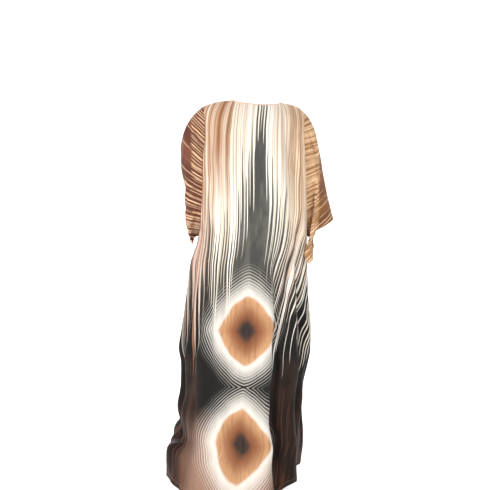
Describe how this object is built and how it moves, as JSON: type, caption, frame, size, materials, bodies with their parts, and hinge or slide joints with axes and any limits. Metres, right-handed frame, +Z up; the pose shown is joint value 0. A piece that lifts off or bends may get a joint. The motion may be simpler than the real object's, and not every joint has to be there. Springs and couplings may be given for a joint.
{
  "type": "grand boubou robe",
  "caption": "Floor-length flowing robe of light printed cloth with wide draped sleeves and a round neck, hollow and open at neck, cuffs and hem, in its worn form.",
  "frame": {"origin": "middle of the neck opening at shoulder height, where the wearer's shoulders hold the robe up", "axes": "+Z up; the back of the robe faces -Y, the front faces +Y, and the wearer's right sleeve is at +X"},
  "size_m": [0.6067, 0.5896, 1.3515],
  "materials": {
    "printed_cloth": "soft satin sheen",
    "sleeve_cloth": "soft satin sheen",
    "binding_cloth": "matt"
  },
  "bodies": {
    "root": {"back": "printed_cloth", "front": "printed_cloth", "sleeve_left": "sleeve_cloth", "sleeve_right": "sleeve_cloth", "neck_binding": "binding_cloth"}
  },
  "joints": []
}
